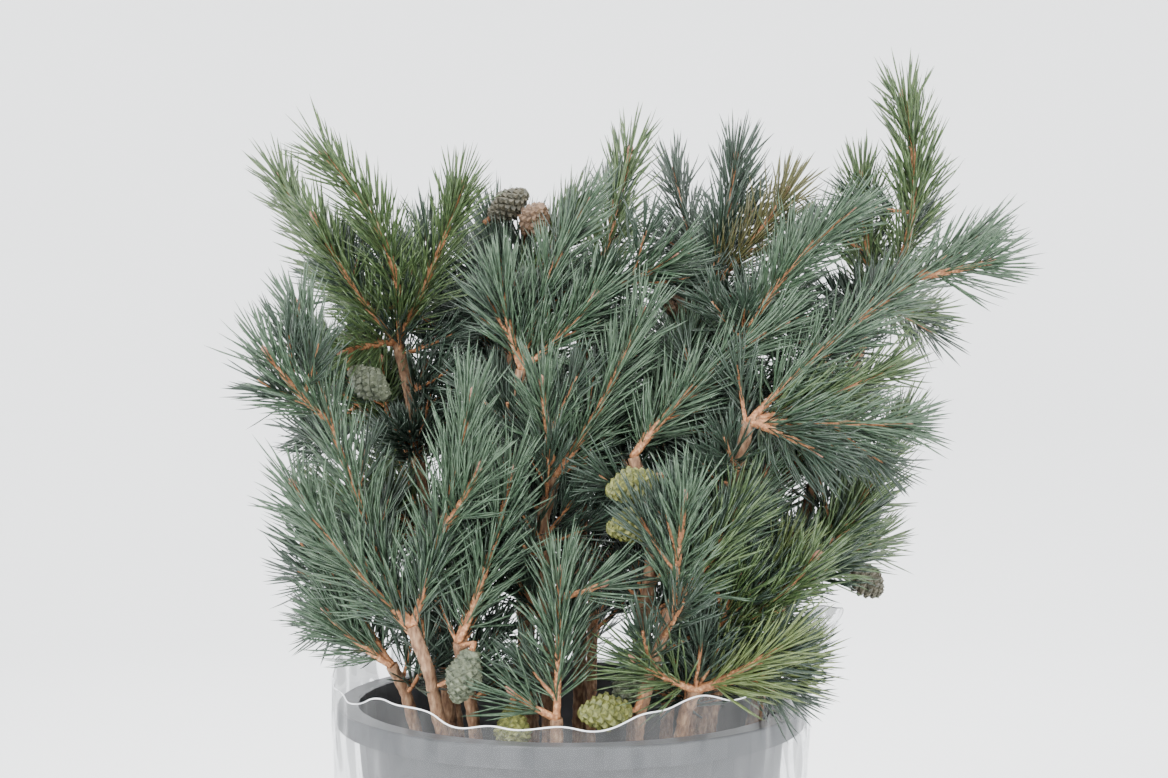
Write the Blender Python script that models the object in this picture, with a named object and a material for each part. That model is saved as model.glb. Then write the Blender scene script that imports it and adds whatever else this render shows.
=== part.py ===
"""A bunch of cut Scots pine branches with green cones, in a dark bucket with a clear film sleeve.

Metres, +Z up. The origin is the centre of the bucket's flat underside, and -Y is the front.
"""

import math
import random
from collections import namedtuple

import bmesh
import bpy
import numpy as np

# Solids that meet keep this gap
GAP = 0.0003
MM = 0.001

# The bucket: a thin tapered wall with a flat floor and a rim that turns over into a skirt
BUCKET_HEIGHT = 0.310
FOOT_RADIUS = 0.120
MOUTH_RADIUS = 0.1485
RIM_RADIUS = 0.163
SKIRT = 0.014
WALL = 0.002
FLOOR = 0.0025
EDGE = 0.001
BUCKET_STEPS = 48
BUCKET_SLOPE = 0.1
BUCKET_SHARP = 35.0

# The film sleeve: gathered round the rim, open at both ends, with a ragged top edge
FILM = 0.0007
FILM_STEPS = 54
FILM_FOOT = 0.008
FILM_FOOT_PULL = 0.016
FILM_FOLD = 0.0032
FILM_RISE = 0.019
FILM_RISE_WAVE = 0.006
FILM_FLARE_BEARING = 12.0
FILM_FLARE_WIDTH = 26.0
FILM_FLARE_RISE = 0.036
FILM_FLARE_REACH = 0.026
FILM_FLARE_CURVE = 1.3
FILM_EDGE_WAVES = ((1.0, 2, 2.47), (0.7, 5, 0.4), (0.4, 11, 1.57))
FILM_FOLD_WAVES = ((0.25, 9, 0.0), (0.25, 14, 1.3))
FILM_SHARP = 60.0

# The branches: cut ends on the bucket's floor, bare stems, then a fork with its shoots
FOOT_SHARE = 0.60
FOOT_LIMIT = 0.095
STEM_FOOT_RADIUS = 0.0055
STEM_TIP_RADIUS = 0.0038
STEM_SIDES = 5
STEM_RINGS = 6
STEM_LEAN_START = 0.16
STEM_LEAN_HEIGHT = 0.56
BOUGH_SHARP = 40.0
KNUCKLE = 0.0052

# A shoot: a slim five-sided core, with tufts of needles swept forward from it
CORE_SIDES = 5
CORE_RADIUS = 0.0027
CORE_TIP_RADIUS = 0.0016
CORE_ROW = 0.0205
CORE_TWIST = 31.0
SHOOT_ACROSS = 0.58
SHOOT_UP = 0.42
NEEDLE = 0.040
NEEDLE_VARIATION = 0.12
NEEDLE_ANGLE_FOOT = 50.0
NEEDLE_ANGLE_TIP = 24.0
BARE_FOOT = 0.012
TUFT_LENGTHS = (1.0, 0.72, 0.48)
TUFT_RADIUS = 0.0021
TUFT_END_RADIUS = 0.0002
TUFT_CLEARANCE = 0.0007
TUFT_SHARES = (0.2, 0.32, 0.44, 0.56, 0.68, 0.8, 0.9, 1.0)
TUFT_BLENDS = (0.0, 0.5, 1.0)
NEAR = 0.075

# A cone: an egg shape on a short stalk
CONE_LENGTH = 0.034
CONE_RADIUS = 0.0105
CONE_SIDES = 8
CONE_RINGS = 6
CONE_FOOT = 0.42
CONE_SWELL = 1.45
CONE_WIDEST = 0.4
CONE_TAPER = 1.32
CONE_SHARP = 60.0
STALK = 0.004
STALK_RADIUS = 0.0022

# Colours as linear values, with roughness
BUCKET_GREY = ((0.060, 0.063, 0.066), 0.45)
FILM_CLEAR = ((0.80, 0.83, 0.86), 0.10)
BARK_BROWN = ((0.330, 0.150, 0.060), 0.80)
NEEDLE_GREEN = ((0.085, 0.180, 0.105), 0.50)
CONE_GREEN = ((0.230, 0.230, 0.070), 0.65)

# Every branch has a fork in metres. The rest are offsets in millimetres to the right, back and up:
# its stem from the fork down to the bough, and its shoots from the fork to their tips, followed by
# how far the middle of a bowed one stands off. A twig grows from part of the way along a limb, and
# so does a cone's stalk, to the cone's base. Limb 0 is the stem, and limb 1 is the first shoot.
# A cone points at a bearing from +X and a lean from the vertical, in degrees.
Branch = namedtuple("Branch", "name fork stem shoots twigs cones")
Twig = namedtuple("Twig", "limb at offset")
Cone = namedtuple("Cone", "name limb at base bearing lean")
Limb = namedtuple("Limb", "path radii needled seed")

FRONT_BRANCHES = (
    Branch("left_tall", (-0.126, 0.030, 0.561), (8, -4, -30),
           ((-44, -50, 127, 20, 0, 6), (-53, -40, 85), (48, -30, 107), (-95, 60, 125), (10, 40, 75),
            (-34, -42, -8)),
           (),
           (Cone("left_high", 6, 0.80, (0, -4, -14), 345, 125),
            Cone("left_dark", 6, 0.25, (-6, 14, 2), 165, 92))),
    Branch("left_front", (-0.0995, -0.120, 0.377), (10, 0, -26),
           ((-75, 5, 88), (-83, 60, 205), (37, 0, 145)),
           (Twig(2, 0.66, (-38, -20, 45)), Twig(3, 0.45, (24, -14, 40))), ()),
    Branch("left_low", (-0.116, -0.088, 0.347), (8, 8, -18),
           ((-62, 40, 104), (-42, 0, 34), (-65, 85, 60)), (), ()),
    Branch("left_inner", (-0.070, -0.120, 0.367), (4, 12, -24),
           ((33, 0, 106), (12, 35, 70)), (), (Cone("left_low", 0, 0.9, (9, -16, 0), 180, 163),)),
    Branch("middle_back", (-0.033, -0.050, 0.540), (-6, 4, -34),
           ((-15, 0, 62), (43, 20, 113, -7, 0, 5), (48, -20, 48)), (), ()),
    Branch("middle", (-0.010, -0.090, 0.470), (-8, 4, -28),
           ((-8, -8, 60), (57, 14, 106), (48, 38, 40)), (), ()),
    Branch("middle_right", (0.0405, -0.100, 0.483), (14, 2, -44),
           ((98, 18, 86, -8, 0, 10), (46, 70, 90)), (),
           (Cone("middle_upper", 0, 0.70, (10, -18, 1), 198, 105),
            Cone("middle_lower", 0, 0.22, (5, -23, -4), 192, 100))),
    Branch("upper_middle", (0.012, -0.012, 0.590), (-4, 6, -30),
           ((57, -24, 26), (30, 42, 108)), (), ()),
    Branch("rear_middle", (-0.045, 0.045, 0.590), (2, 0, -30),
           ((-14, 18, 60), (45, 14, 70), (-45, 50, 56), (10, 16, 48)), (),
           (Cone("top_left", 1, 0.95, (-2, -8, 6), 352, 55),
            Cone("top_right", 4, 0.90, (3, -4, 10), 292, 62))),
    Branch("upper_right", (0.100, 0.022, 0.600), (-6, 0, -36),
           ((20, 22, 96), (52, -10, 66), (-22, 78, 92)), (),
           (Cone("upper_brown", 0, 0.60, (-5, -11, 2), 220, 95),)),
    Branch("right_upper", (0.118, -0.048, 0.560), (-4, 2, -32),
           ((69, -14, 84, -9, 0, 8), (40, 50, 76)), (), ()),
    Branch("right_tall", (0.216, 0.010, 0.582), (-14, 0, -34),
           ((16, -20, 148, 15, 0, 0), (-8, 14, 96), (48, 52, 2)), (), ()),
    Branch("right_long", (0.1145, -0.105, 0.506), (-6, 4, -30),
           ((164, 60, 124, -8, 0, 13), (95, 30, 34), (98, -8, -2), (38, -34, -18)),
           (Twig(1, 0.72, (42, -20, 8)),), ()),
    Branch("right_middle", (0.150, -0.050, 0.400), (-8, 2, -28),
           ((60, 20, 68), (90, 85, 105), (66, 60, 20)), (),
           (Cone("right_dark", 3, 0.60, (4, -3, -9), 40, 125),)),
    Branch("front_bright", (0.062, -0.142, 0.390), (-18, 18, -66),
           ((8, -20, 70), (44, 14, 64), (66, 50, 86)), (),
           (Cone("front_olive", 0, 0.28, (-11, -2, -16), 200, 90),
            Cone("front_behind", 0, 0.41, (-8, 21, 0), 160, 162))),
    Branch("right_yellow", (0.0834, -0.095, 0.354), (-2, 4, -24),
           ((72, -20, 66), (56, 0, 66), (24, -22, 54)), (), ()),
    Branch("right_low", (0.079, -0.125, 0.338), (-6, 8, -16),
           ((52, -12, 30), (68, 16, 16), (-38, -20, 22)), (), ()),
    Branch("front_centre", (-0.008, -0.135, 0.322), (0, 6, -18),
           ((2, -6, 90), (-27, 0, 16)), (Twig(1, 0.86, (26, 0, 8)),),
           (Cone("front_left", 2, 0.9, (-3, 8, -8), 90, 178),)),
)

# The branches at the back: an axis with two whorls of shoots each, spaced round the bunch
BACK_COUNT = 5
BACK_FIRST_BEARING = 14.0
BACK_BEARING_STEP = 34.0
BACK_OUTER = (0.118, 0.375)
BACK_INNER = (0.085, 0.440)
BACK_RISE = 0.009
BACK_LEADER = 0.190
BACK_LEADER_LEAN = 22.0
BACK_SHOOT = 0.082
BACK_SHOOT_LEAN = 58.0
BACK_WHORL = 4
BACK_FAN = 56.0
BACK_TURN_VARIATION = 8.0
BACK_LENGTH_VARIATION = 0.15
BACK_TWIG_AT = 0.52
BACK_TWIG_LEAN = 14.0
BACK_TWIG_SHARE = 0.85
BACK_STEM = (0, 0, -24)
BACK_SEED = 31


def offset(values):
    """An offset in metres from one in millimetres."""
    return np.array(values, dtype=float) * MM


def heading(bearing, lean):
    """The unit vector at a bearing from +X and a lean from the vertical, in degrees."""
    turn = math.radians(bearing)
    tilt = math.radians(lean)
    flat = math.sin(tilt)
    return np.array((flat * math.cos(turn), flat * math.sin(turn), math.cos(tilt)))


def unit(vector):
    """The vector at length one."""
    return vector / np.linalg.norm(vector)


def curve(start, control, end, count):
    """Points along a quadratic curve."""
    t = np.linspace(0.0, 1.0, count)[:, None]
    return (1 - t) ** 2 * start + 2 * t * (1 - t) * control + t ** 2 * end


def carried_frames(path):
    """The tangent and two normals at each point of a path, carried along it without twist."""
    tangents = np.gradient(path, axis=0)
    tangents /= np.linalg.norm(tangents, axis=1)[:, None]
    side = np.cross(tangents[0], (0.0, 0.0, 1.0) if abs(tangents[0][2]) < 0.9 else (1.0, 0.0, 0.0))
    first = []
    second = []
    for tangent in tangents:
        side = unit(side - tangent * np.dot(side, tangent))
        first.append(side)
        second.append(np.cross(tangent, side))
    return tangents, np.array(first), np.array(second)


def tube_rings(path, radii, sides, twist=0.0, start=0.0):
    """Rings of points round a path: an array by ring, side and axis."""
    tangents, first, second = carried_frames(path)
    rings = []
    for index, centre in enumerate(path):
        angles = math.radians(start + twist * index) + np.arange(sides) * math.tau / sides
        ring = np.cos(angles)[:, None] * first[index] + np.sin(angles)[:, None] * second[index]
        rings.append(centre + ring * radii[index])
    return np.array(rings), tangents


def tube_mesh(rings, apexes=None):
    """A closed mesh from rings of points, with some of its faces drawn out to an apex."""
    mesh = bmesh.new()
    loops = [[mesh.verts.new(point) for point in ring] for ring in rings]
    sides = len(loops[0])
    quads = {}
    for row in range(len(loops) - 1):
        for side in range(sides):
            after = (side + 1) % sides
            corners = (loops[row][side], loops[row][after], loops[row + 1][after], loops[row + 1][side])
            quads[row, side] = mesh.faces.new(corners)
    mesh.faces.new(list(reversed(loops[0])))
    mesh.faces.new(loops[-1])
    for key, apex in (apexes or {}).items():
        poked = bmesh.ops.poke(mesh, faces=[quads[key]], center_mode="MEAN")
        poked["verts"][0].co = apex
    bmesh.ops.triangulate(mesh, faces=mesh.faces)
    bmesh.ops.recalc_face_normals(mesh, faces=mesh.faces)
    return mesh


def add_object(name, mesh, material, smooth_angle=None):
    """Put a bmesh into the scene as a named object."""
    data = bpy.data.meshes.new(name)
    mesh.to_mesh(data)
    mesh.free()
    data.materials.append(material)
    if smooth_angle is not None:
        data.shade_smooth()
        data.set_sharp_from_angle(angle=math.radians(smooth_angle))
    thing = bpy.data.objects.new(name, data)
    bpy.context.scene.collection.objects.link(thing)
    return thing


def make_material(name, finish, alpha=1.0):
    """A plain Principled material."""
    colour, roughness = finish
    material = bpy.data.materials.new(name)
    material.use_nodes = True
    shader = material.node_tree.nodes["Principled BSDF"]
    shader.inputs["Base Color"].default_value = (*colour, 1.0)
    shader.inputs["Roughness"].default_value = roughness
    shader.inputs["Metallic"].default_value = 0.0
    shader.inputs["Alpha"].default_value = alpha
    return material


def bucket_profile():
    """The wall's outline as radius and height, from the underside round the rim to the floor."""
    top = BUCKET_HEIGHT
    return (
        (0.0, 0.0),
        (FOOT_RADIUS - WALL, 0.0),
        (FOOT_RADIUS, WALL),
        (MOUTH_RADIUS + WALL, top - WALL),
        (RIM_RADIUS - WALL, top - WALL),
        (RIM_RADIUS - WALL, top - SKIRT),
        (RIM_RADIUS, top - SKIRT),
        (RIM_RADIUS, top - EDGE),
        (RIM_RADIUS - EDGE, top),
        (MOUTH_RADIUS + EDGE, top),
        (MOUTH_RADIUS, top - EDGE),
        (FOOT_RADIUS - WALL, FLOOR),
        (0.0, FLOOR),
    )


def make_bucket(material):
    """The bucket, turned from its profile."""
    mesh = bmesh.new()
    points = [mesh.verts.new((radius, 0.0, height)) for radius, height in bucket_profile()]
    edges = [mesh.edges.new(pair) for pair in zip(points, points[1:])]
    bmesh.ops.spin(mesh, geom=points + edges, cent=(0, 0, 0), axis=(0, 0, 1), angle=math.tau,
                   steps=BUCKET_STEPS, use_merge=True)
    bmesh.ops.remove_doubles(mesh, verts=mesh.verts, dist=1e-6)
    bmesh.ops.recalc_face_normals(mesh, faces=mesh.faces)
    return add_object("bucket", mesh, material, BUCKET_SHARP)


def flare(bearing):
    """How much of the right-hand flare the film has at a bearing, from 0 to 1."""
    away = (bearing - FILM_FLARE_BEARING + 180.0) % 360.0 - 180.0
    return math.exp(-(away / FILM_FLARE_WIDTH) ** 2)


def film_top(bearing):
    """The height of the film's ragged top edge."""
    turn = math.radians(bearing)
    wave = sum(size * math.sin(count * turn + phase) for size, count, phase in FILM_EDGE_WAVES)
    return BUCKET_HEIGHT + FILM_RISE + FILM_RISE_WAVE * wave + FILM_FLARE_RISE * flare(bearing)


def film_radius(bearing, height):
    """The inner radius of the film: gathered in folds that rest on the rim."""
    turn = math.radians(bearing)
    fold = 0.5 + sum(size * math.sin(count * turn + phase) for size, count, phase in FILM_FOLD_WAVES)
    radius = RIM_RADIUS + 2 * GAP + FILM_FOLD * fold
    above = max(0.0, height - BUCKET_HEIGHT)
    below = max(0.0, BUCKET_HEIGHT - SKIRT - height)
    lift = above / (FILM_RISE + FILM_FLARE_RISE)
    radius += FILM_FLARE_REACH * flare(bearing) * lift ** FILM_FLARE_CURVE
    radius -= FILM_FOOT_PULL * (below / BUCKET_HEIGHT)
    return radius


def film_heights(bearing):
    """The heights of the film's rows of points at a bearing."""
    top = film_top(bearing)
    rim = BUCKET_HEIGHT
    return (FILM_FOOT, rim - SKIRT, rim, (rim + top) / 2, top)


def make_film(material):
    """The sleeve, a thin shell open at the top and the bottom."""
    mesh = bmesh.new()
    columns = []
    for step in range(FILM_STEPS):
        bearing = 360.0 * step / FILM_STEPS
        turn = math.radians(bearing)
        heights = film_heights(bearing)
        column = []
        for thickness, order in ((FILM, heights), (0.0, reversed(heights))):
            for height in order:
                radius = film_radius(bearing, height) + thickness
                column.append(mesh.verts.new((radius * math.cos(turn), radius * math.sin(turn), height)))
        columns.append(column)
    rows = len(columns[0])
    for step in range(FILM_STEPS):
        here = columns[step]
        there = columns[(step + 1) % FILM_STEPS]
        for row in range(rows):
            after = (row + 1) % rows
            mesh.faces.new((here[row], there[row], there[after], here[after]))
    bmesh.ops.triangulate(mesh, faces=mesh.faces)
    bmesh.ops.recalc_face_normals(mesh, faces=mesh.faces)
    return add_object("film_sleeve", mesh, material, FILM_SHARP)


def back_branch(index):
    """A branch at the back, worked out by rule: a leader with a whorl at its foot and one above."""
    rng = random.Random(BACK_SEED + index)
    bearing = BACK_FIRST_BEARING + BACK_BEARING_STEP * index
    reach, height = BACK_OUTER if index % 2 == 0 else BACK_INNER
    turn = math.radians(bearing)
    fork = (reach * math.cos(turn), reach * math.sin(turn), height + BACK_RISE * index)
    leader = heading(bearing, BACK_LEADER_LEAN) * BACK_LEADER / MM
    shoots = [tuple(leader)]
    twigs = []
    for place in range(BACK_WHORL):
        around = bearing + (place - (BACK_WHORL - 1) / 2) * BACK_FAN
        around += rng.uniform(-BACK_TURN_VARIATION, BACK_TURN_VARIATION)
        lean = BACK_SHOOT_LEAN + rng.uniform(-BACK_TURN_VARIATION, BACK_TURN_VARIATION)
        length = BACK_SHOOT / MM * (1.0 + rng.uniform(-BACK_LENGTH_VARIATION, BACK_LENGTH_VARIATION))
        shoots.append(tuple(heading(around, lean) * length))
        around += BACK_FAN / 2
        twig = heading(around, lean - BACK_TWIG_LEAN) * length * BACK_TWIG_SHARE
        twigs.append(Twig(1, BACK_TWIG_AT, tuple(twig)))
    return Branch(f"back_{index + 1}", fork, BACK_STEM, tuple(shoots), tuple(twigs), ())


def shoot_path(start, end, bow, count):
    """A shoot leaves its fork at a wide angle and turns up towards its tip."""
    across = (end - start) * np.array((SHOOT_ACROSS, SHOOT_ACROSS, SHOOT_UP))
    return curve(start, start + across + 2 * bow, end, count)


def needled_limb(start, values, seed):
    """A shoot's core, with one ring for each row of tufts."""
    end = start + offset(values[:3])
    bow = offset(values[3:] or (0, 0, 0))
    rows = max(3, round(np.linalg.norm(end - start) / CORE_ROW))
    path = shoot_path(start, end, bow, rows + 1)
    radii = np.linspace(CORE_RADIUS, CORE_TIP_RADIUS, rows + 1)
    return Limb(path, radii, True, seed)


def along(path, share):
    """The point part of the way along a path."""
    place = share * (len(path) - 1)
    low = min(int(place), len(path) - 2)
    return path[low] + (path[low + 1] - path[low]) * (place - low)


def cone_place(limbs, cone):
    """A cone's stalk foot, base and direction."""
    foot = along(limbs[cone.limb].path, cone.at)
    return foot, foot + offset(cone.base), heading(cone.bearing, cone.lean)


def grow(branch, number):
    """The limbs of a branch's mass: its stem, its shoots and twigs, and its cones' stalks."""
    fork = np.array(branch.fork)
    foot = fork + offset(branch.stem)
    stem_path = np.array((foot, (foot + fork) / 2, fork))
    limbs = [Limb(stem_path, np.full(3, STEM_TIP_RADIUS), False, 0)]
    for shoot in branch.shoots:
        limbs.append(needled_limb(fork, shoot, 100 * number + len(limbs)))
    for twig in branch.twigs:
        start = along(limbs[twig.limb].path, twig.at)
        limbs.append(needled_limb(start, twig.offset, 100 * number + len(limbs)))
    for cone in branch.cones:
        start, base, direction = cone_place(limbs, cone)
        path = np.array((start, base - direction * STALK, base))
        limbs.append(Limb(path, np.full(3, STALK_RADIUS), False, 0))
    return limbs


def bough_limb(branch):
    """The bare stem from its cut end on the bucket's floor to the foot of its mass."""
    fork = np.array(branch.fork)
    end = fork + offset(branch.stem)
    rise = unit(fork - end)
    end = end - rise * GAP
    flat = np.array((end[0], end[1], 0.0))
    reach = np.linalg.norm(flat)
    foot = flat / reach * min(FOOT_SHARE * reach, FOOT_LIMIT)
    foot[2] = FLOOR + GAP
    control = foot + (end - foot) * np.array((STEM_LEAN_START, STEM_LEAN_START, STEM_LEAN_HEIGHT))
    path = curve(foot, control, end, STEM_RINGS)
    return Limb(path, np.linspace(STEM_FOOT_RADIUS, STEM_TIP_RADIUS, STEM_RINGS), False, 0)


def flat_ended_rings(limb, sides, low_normal, high_normal):
    """A tube's rings, with the first and last turned to lie square to the given normals."""
    rings, _ = tube_rings(limb.path, limb.radii, sides)
    ends = ((rings[0], limb.path[0], low_normal), (rings[-1], limb.path[-1], high_normal))
    for ring, centre, normal in ends:
        for point in ring:
            point -= normal * np.dot(point - centre, normal)
    return rings


def cone_profile():
    """The cone's radius at even steps from its base to its tip: widest near the base."""
    shares = np.linspace(0.0, 1.0, CONE_RINGS)
    radii = []
    for share in shares:
        if share < CONE_WIDEST:
            swell = math.sin(math.pi * share * CONE_SWELL / 2)
            radii.append(CONE_RADIUS * (CONE_FOOT + (1.0 - CONE_FOOT) * swell))
        else:
            past = (share - CONE_WIDEST) / (1.0 - CONE_WIDEST)
            radii.append(CONE_RADIUS * math.cos(CONE_TAPER * past))
    return shares, np.array(radii)


class Crowd:
    """The tapered capsules that tufts have to keep clear of."""

    def __init__(self):
        self.starts = []
        self.ends = []
        self.start_radii = []
        self.end_radii = []
        self.owners = []

    def add(self, start, end, start_radius, end_radius, owner):
        self.starts.append(start)
        self.ends.append(end)
        self.start_radii.append(start_radius)
        self.end_radii.append(end_radius)
        self.owners.append(owner)

    def add_path(self, path, radii, owner):
        for index in range(len(path) - 1):
            self.add(path[index], path[index + 1], radii[index], radii[index + 1], owner)

    def clearance(self, points, radii, owner):
        """The least gap between round points and every capsule of another owner."""
        starts = np.array(self.starts)
        ends = np.array(self.ends)
        middle = points.mean(axis=0)
        near = np.linalg.norm((starts + ends) / 2 - middle, axis=1) < NEAR
        near &= np.array([other != owner for other in self.owners])
        if not near.any():
            return NEAR
        starts = starts[near]
        ends = ends[near]
        low = np.array(self.start_radii)[near]
        high = np.array(self.end_radii)[near]
        spans = ends - starts
        lengths = (spans ** 2).sum(axis=1)
        shares = ((points[:, None, :] - starts) * spans).sum(axis=2) / lengths
        shares = np.clip(shares, 0.0, 1.0)
        nearest = starts + shares[..., None] * spans
        gaps = np.linalg.norm(points[:, None, :] - nearest, axis=2)
        gaps -= low + (high - low) * shares
        gaps -= radii[:, None]
        return gaps.min()


def touches_bucket_or_film(points, margin):
    """Whether any point lies in the wall of the bucket, its rim or the film."""
    for x, y, z in points:
        radius = math.hypot(x, y)
        wall = MOUTH_RADIUS - margin - (BUCKET_HEIGHT - z) * BUCKET_SLOPE
        if z < BUCKET_HEIGHT + margin and wall < radius < RIM_RADIUS + margin:
            return True
        bearing = math.degrees(math.atan2(y, x))
        if z < film_top(bearing) + margin and abs(radius - film_radius(bearing, z)) < margin + FILM:
            return True
    return False


def tuft_points(rear, front, apex):
    """Sample points over a tuft, with the radius of the clear space each needs."""
    points = []
    radii = []
    for share in TUFT_SHARES:
        for blend in TUFT_BLENDS:
            foot = rear + (front - rear) * blend
            points.append(foot + (apex - foot) * share)
            radii.append(TUFT_RADIUS * (1.0 - share))
    return np.array(points), np.array(radii)


def choose_tufts(limb, owner, crowd):
    """The apex of each face of a core that can be drawn out to a tuft without touching anything."""
    rng = random.Random(limb.seed)
    turned = rng.uniform(0, 360 / CORE_SIDES)
    rings, tangents = tube_rings(limb.path, limb.radii, CORE_SIDES, CORE_TWIST, turned)
    rows = len(rings) - 1
    length = np.linalg.norm(np.diff(limb.path, axis=0), axis=1).sum()
    apexes = {}
    for row in range(rows):
        share = (row + 0.5) / rows
        if share * length < BARE_FOOT:
            continue
        centre = (limb.path[row] + limb.path[row + 1]) / 2
        tangent = unit(tangents[row] + tangents[row + 1])
        lean = math.radians(NEEDLE_ANGLE_FOOT + (NEEDLE_ANGLE_TIP - NEEDLE_ANGLE_FOOT) * share)
        for side in range(CORE_SIDES):
            after = (side + 1) % CORE_SIDES
            rear = (rings[row][side] + rings[row][after]) / 2
            front = (rings[row + 1][side] + rings[row + 1][after]) / 2
            foot = (rear + front) / 2
            outward = unit(foot - centre - tangent * np.dot(foot - centre, tangent))
            reach = NEEDLE * (1.0 + rng.uniform(-NEEDLE_VARIATION, NEEDLE_VARIATION))
            direction = outward * math.sin(lean) + tangent * math.cos(lean)
            for part in TUFT_LENGTHS:
                apex = foot + direction * reach * part
                points, radii = tuft_points(rear, front, apex)
                if touches_bucket_or_film(points, TUFT_RADIUS + TUFT_CLEARANCE):
                    continue
                if crowd.clearance(points, radii, owner) > TUFT_CLEARANCE:
                    apexes[row, side] = apex
                    for start in (rear, foot, front):
                        crowd.add(start, apex, TUFT_RADIUS, TUFT_END_RADIUS, owner)
                    break
    return rings, apexes


def closed(data):
    """Whether every edge of a mesh has exactly two faces."""
    mesh = bmesh.new()
    mesh.from_mesh(data)
    answer = all(len(edge.link_faces) == 2 for edge in mesh.edges) and len(mesh.faces) > 0
    mesh.free()
    return answer


def keep_outer_body(data):
    """Drop loose scraps and the skins of sealed hollows: only the largest body stays."""
    mesh = bmesh.new()
    mesh.from_mesh(data)
    mesh.faces.ensure_lookup_table()
    unseen = set(range(len(mesh.faces)))
    bodies = []
    while unseen:
        queue = [mesh.faces[unseen.pop()]]
        body = []
        while queue:
            face = queue.pop()
            body.append(face)
            for edge in face.edges:
                for other in edge.link_faces:
                    if other.index in unseen:
                        unseen.remove(other.index)
                        queue.append(other)
        bodies.append(body)
    bodies.sort(key=len)
    for body in bodies[:-1]:
        bmesh.ops.delete(mesh, geom=body, context="FACES")
    bmesh.ops.triangulate(mesh, faces=mesh.faces)
    mesh.to_mesh(data)
    mesh.free()


def fuse(name, pieces, material):
    """Join the pieces of a mass into one solid, by one union on a collection."""
    body = pieces[0]
    others = bpy.data.collections.new(name + "_limbs")
    bpy.context.scene.collection.children.link(others)
    for piece in pieces[1:]:
        bpy.context.scene.collection.objects.unlink(piece)
        others.objects.link(piece)
    join = body.modifiers.new("join", "BOOLEAN")
    join.operation = "UNION"
    join.operand_type = "COLLECTION"
    join.collection = others
    for solver in ("EXACT", "MANIFOLD"):
        join.solver = solver
        graph = bpy.context.evaluated_depsgraph_get()
        joined = bpy.data.meshes.new_from_object(body.evaluated_get(graph), depsgraph=graph)
        keep_outer_body(joined)
        if closed(joined):
            break
    body.modifiers.clear()
    body.data = joined
    joined.materials.clear()
    joined.materials.append(material)
    body.name = name
    joined.name = name
    for piece in pieces[1:]:
        bpy.data.objects.remove(piece)
    bpy.data.collections.remove(others)
    return body


def knuckle_mesh(centre):
    """The swollen joint that a branch's shoots grow from."""
    mesh = bmesh.new()
    bmesh.ops.create_icosphere(mesh, subdivisions=1, radius=KNUCKLE)
    bmesh.ops.translate(mesh, verts=mesh.verts, vec=centre)
    return mesh


def make_mass(branch, limbs, crowd, owner, material):
    """One mass of needles: its cores and tufts, stem, joint and cone stalks in one solid."""
    pieces = []
    for index, limb in enumerate(limbs):
        if limb.needled:
            rings, apexes = choose_tufts(limb, (owner, index), crowd)
            mesh = tube_mesh(rings, apexes)
        else:
            square = unit(limb.path[1] - limb.path[0]), unit(limb.path[-1] - limb.path[-2])
            mesh = tube_mesh(flat_ended_rings(limb, STEM_SIDES, *square))
        pieces.append(add_object(f"{branch.name}_limb_{index}", mesh, material))
    pieces.append(add_object(f"{branch.name}_joint", knuckle_mesh(branch.fork), material))
    return fuse(f"needles_{branch.name}", pieces, material)


def make_cone(name, base, direction, material):
    """A closed cone, pointing away from its stalk."""
    shares, radii = cone_profile()
    start = base + direction * GAP
    path = start + shares[:, None] * direction * CONE_LENGTH
    rings, _ = tube_rings(path, radii, CONE_SIDES)
    return add_object(f"cone_{name}", tube_mesh(rings), material, CONE_SHARP)


def build():
    """Build every solid of the bunch."""
    for thing in list(bpy.data.objects):
        bpy.data.objects.remove(thing)
    bark = make_material("bark", BARK_BROWN)
    needles = make_material("needles", NEEDLE_GREEN)
    cone_skin = make_material("cone", CONE_GREEN)
    make_bucket(make_material("bucket_plastic", BUCKET_GREY))
    make_film(make_material("film", FILM_CLEAR, 0.35))
    branches = FRONT_BRANCHES + tuple(back_branch(index) for index in range(BACK_COUNT))
    crowd = Crowd()
    grown = []
    for number, branch in enumerate(branches):
        limbs = grow(branch, number)
        grown.append(limbs)
        for index, limb in enumerate(limbs):
            crowd.add_path(limb.path, limb.radii, (number, index))
        bough = bough_limb(branch)
        crowd.add_path(bough.path, bough.radii, ("bough", number))
        rise = unit(np.array(branch.fork) - bough.path[-1])
        rings = flat_ended_rings(bough, STEM_SIDES, np.array((0.0, 0.0, 1.0)), rise)
        add_object(f"bough_{branch.name}", tube_mesh(rings), bark, BOUGH_SHARP)
        for cone in branch.cones:
            _, base, direction = cone_place(limbs, cone)
            shares, radii = cone_profile()
            crowd.add_path(base + shares[:, None] * direction * CONE_LENGTH, radii, ("cone", cone.name))
            make_cone(cone.name, base, direction, cone_skin)
    for number, branch in enumerate(branches):
        make_mass(branch, grown[number], crowd, number, needles)


build()
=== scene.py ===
"""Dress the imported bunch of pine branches: needles in pairs, scaly twigs, cones, bucket and film.

Metres, +Z up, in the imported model's frame. The camera stands where the photograph was taken.
"""

import math
import random
from collections import namedtuple

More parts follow.
